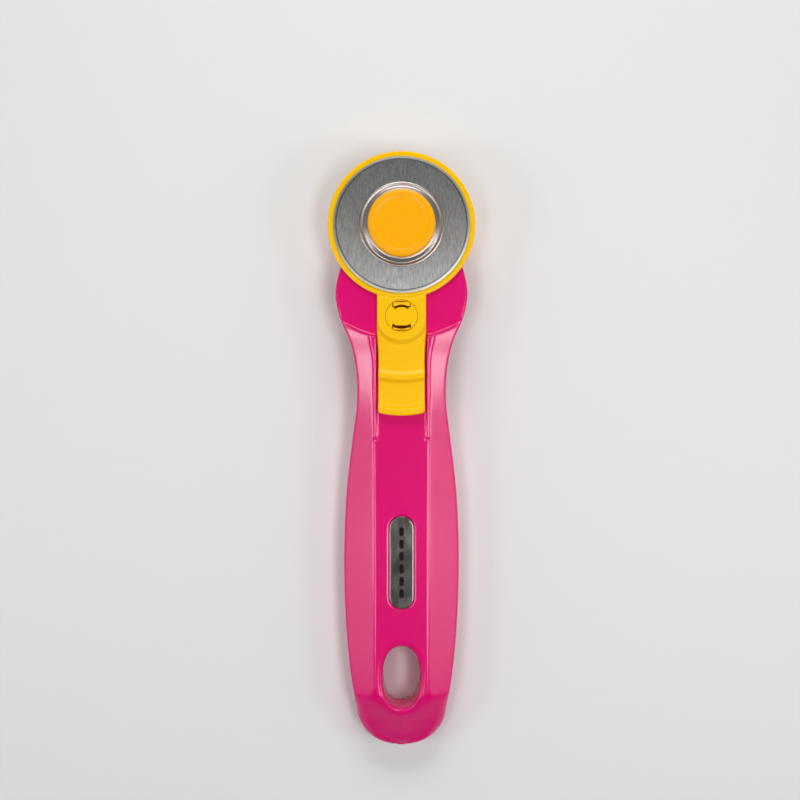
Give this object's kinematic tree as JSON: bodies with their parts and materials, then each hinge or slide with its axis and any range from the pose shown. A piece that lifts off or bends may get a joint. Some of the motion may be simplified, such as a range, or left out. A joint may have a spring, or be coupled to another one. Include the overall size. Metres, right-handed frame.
{
  "type": "rotary cutter",
  "caption": "Straight-handled rotary cutter for fabric: a round steel blade on a keyed bolt, a disc guard that slides back with a ridged thumb strip, and an oval hang hole.",
  "frame": {"origin": "on the blade's axis, at the outer face of the nut, which is level with the back of the grip", "axes": "+Z out of the front, along the blade's axis from the nut to the hub cap; +Y along the handle towards the blade end; +X to the right seen from the front"},
  "size_m": [0.0486, 0.1979, 0.0241],
  "materials": {
    "handle": "glossy",
    "guard": "satin gloss",
    "cap": "satin gloss",
    "knob": "satin gloss",
    "blade": "brushed, with a ground edge",
    "ring": "polished",
    "badge": "polished",
    "fastener": "zinc plated",
    "spring": "satin",
    "brass": "turned"
  },
  "bodies": {
    "handle": {"handle_front_shell": "handle", "handle_back_shell": "handle", "shell_screw_1": "fastener", "shell_screw_2": "fastener", "shell_screw_3": "fastener", "shell_screw_4": "fastener", "shell_screw_5": "fastener", "badge_plate": "badge", "axle_bush": "brass", "axle_bolt": "fastener", "clamp_washer": "ring", "hub_cap": "cap"},
    "guard": {"blade_guard": "guard", "guard_rear_button": "guard"},
    "blade": {"rotary_blade": "blade"},
    "washer": {"spring_washer": "spring"},
    "nut": {"nut_knob": "knob", "nut_insert": "brass"}
  },
  "joints": [
    {"name": "guard_slide", "type": "slide", "parent": "handle", "child": "guard", "axis": [0, -1, 0], "range_m": [0, 0.008]},
    {"name": "blade_spin", "type": "hinge", "parent": "handle", "child": "blade", "pos_m": [0, 0, 0.01895], "axis": [0, 0, 1], "continuous": true},
    {"name": "washer_slide", "type": "slide", "parent": "handle", "child": "washer", "axis": [0, 0, -1], "range_m": [0, 0.0031]},
    {"name": "nut_turn", "type": "hinge", "parent": "washer", "child": "nut", "pos_m": [0, 0, 0.0045], "axis": [0, 0, -1], "range_deg": [0, 1080]}
  ],
  "couplings": [
    {"joint": "washer_slide", "follows": "nut_turn", "m_per_rad": 0.00015915}
  ]
}
